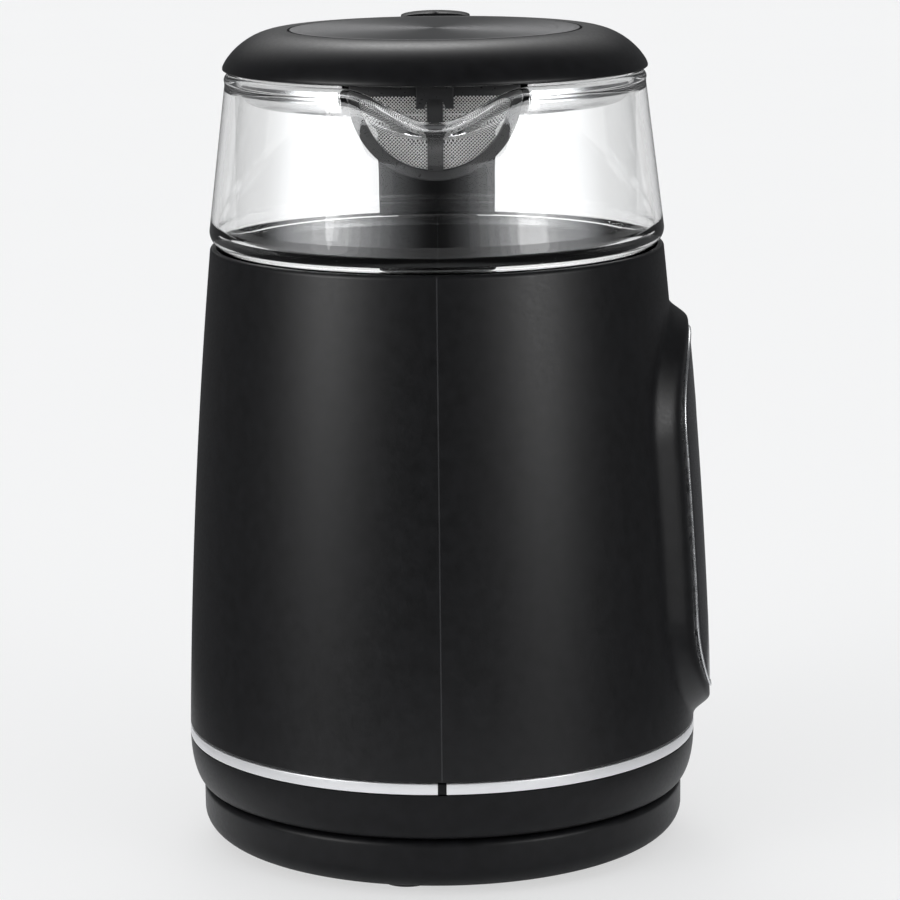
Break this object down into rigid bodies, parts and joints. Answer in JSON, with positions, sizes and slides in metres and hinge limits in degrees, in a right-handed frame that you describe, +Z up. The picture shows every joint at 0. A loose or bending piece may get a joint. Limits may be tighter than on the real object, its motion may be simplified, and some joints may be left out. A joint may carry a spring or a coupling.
{
  "type": "electric kettle",
  "caption": "Cordless electric kettle with a clear glass upper jug and pinched pouring lip, a black tapered sleeve with a side control panel, a hinged lid with strainer and a round power base.",
  "frame": {"origin": "middle of the whole kettle's footprint, on the table that the feet stand on", "axes": "+Z up, -Y the way the pouring lip faces, +Y towards the handle, +X towards the control panel"},
  "size_m": [0.162, 0.2152, 0.2492],
  "materials": {
    "black_plastic": "fine satin, near black",
    "grey_rubber": "matt",
    "steel": "bright satin stainless steel",
    "polished_metal": "polished",
    "dark_metal": "dark metal, spun in fine circles",
    "brass": "plain",
    "aluminium": "as cast",
    "silicone": "milky silicone",
    "clear_glass": "clear, fire-polished rim",
    "dark_lens": "glossy, dark tinted",
    "board": "circuit board"
  },
  "bodies": {
    "power_base": {"base_cover": "black_plastic", "base_plate": "black_plastic", "base_foot_1": "grey_rubber", "base_foot_2": "grey_rubber", "base_foot_3": "grey_rubber", "base_foot_4": "grey_rubber", "base_screw_1": "steel", "base_screw_2": "steel", "base_screw_3": "steel", "cord_gland": "grey_rubber"},
    "coupler": {"coupler_plug": "black_plastic", "plug_contact_ring": "brass", "plug_centre_contact": "brass"},
    "kettle": {"coupler_socket": "black_plastic", "socket_contact_ring": "brass", "socket_centre_pin": "brass", "skirt": "black_plastic", "metal_band": "polished_metal", "band_clip": "black_plastic", "sleeve": "black_plastic", "panel_trim": "polished_metal", "panel_lens": "dark_lens", "display_unit": "dark_lens", "control_board": "board", "glass_jug": "clear_glass", "jug_carrier": "black_plastic", "heating_plate": "steel", "jug_seal": "silicone", "heat_spreader": "aluminium", "heating_element": "steel", "temperature_sensor": "steel", "hinge_block": "black_plastic", "hinge_pin": "steel", "hinge_spring": "steel", "button_spring": "steel", "grip_outer": "black_plastic", "grip_inner": "black_plastic"},
    "lid": {"lid_cover": "black_plastic", "lid_inlay": "dark_metal", "lid_inner_plate": "black_plastic", "lid_liner": "steel"},
    "strainer": {"strainer_frame": "black_plastic", "strainer_mesh_left": "steel", "strainer_mesh_right": "steel"},
    "button": {"lid_button": "black_plastic"}
  },
  "joints": [
    {"name": "swivel", "type": "hinge", "parent": "power_base", "child": "coupler", "pos_m": [-0.00282, -0.0294, 0.018], "axis": [0, 0, 1], "continuous": true},
    {"name": "lift", "type": "slide", "parent": "coupler", "child": "kettle", "axis": [0, 0, 1], "range_m": [0, 0.06]},
    {"name": "lid_hinge", "type": "hinge", "parent": "kettle", "child": "lid", "pos_m": [-0.00282, 0.0426, 0.2356], "axis": [-1, 0, 0], "range_deg": [0, 78]},
    {"name": "button_press", "type": "slide", "parent": "kettle", "child": "button", "axis": [0, 0, -1], "range_m": [0, 0.003], "stiffness_N_per_m": 400, "deforming": ["button_spring"]},
    {"name": "strainer_pull", "type": "slide", "parent": "lid", "child": "strainer", "axis": [0, 0, -1], "range_m": [0, 0.035]}
  ]
}
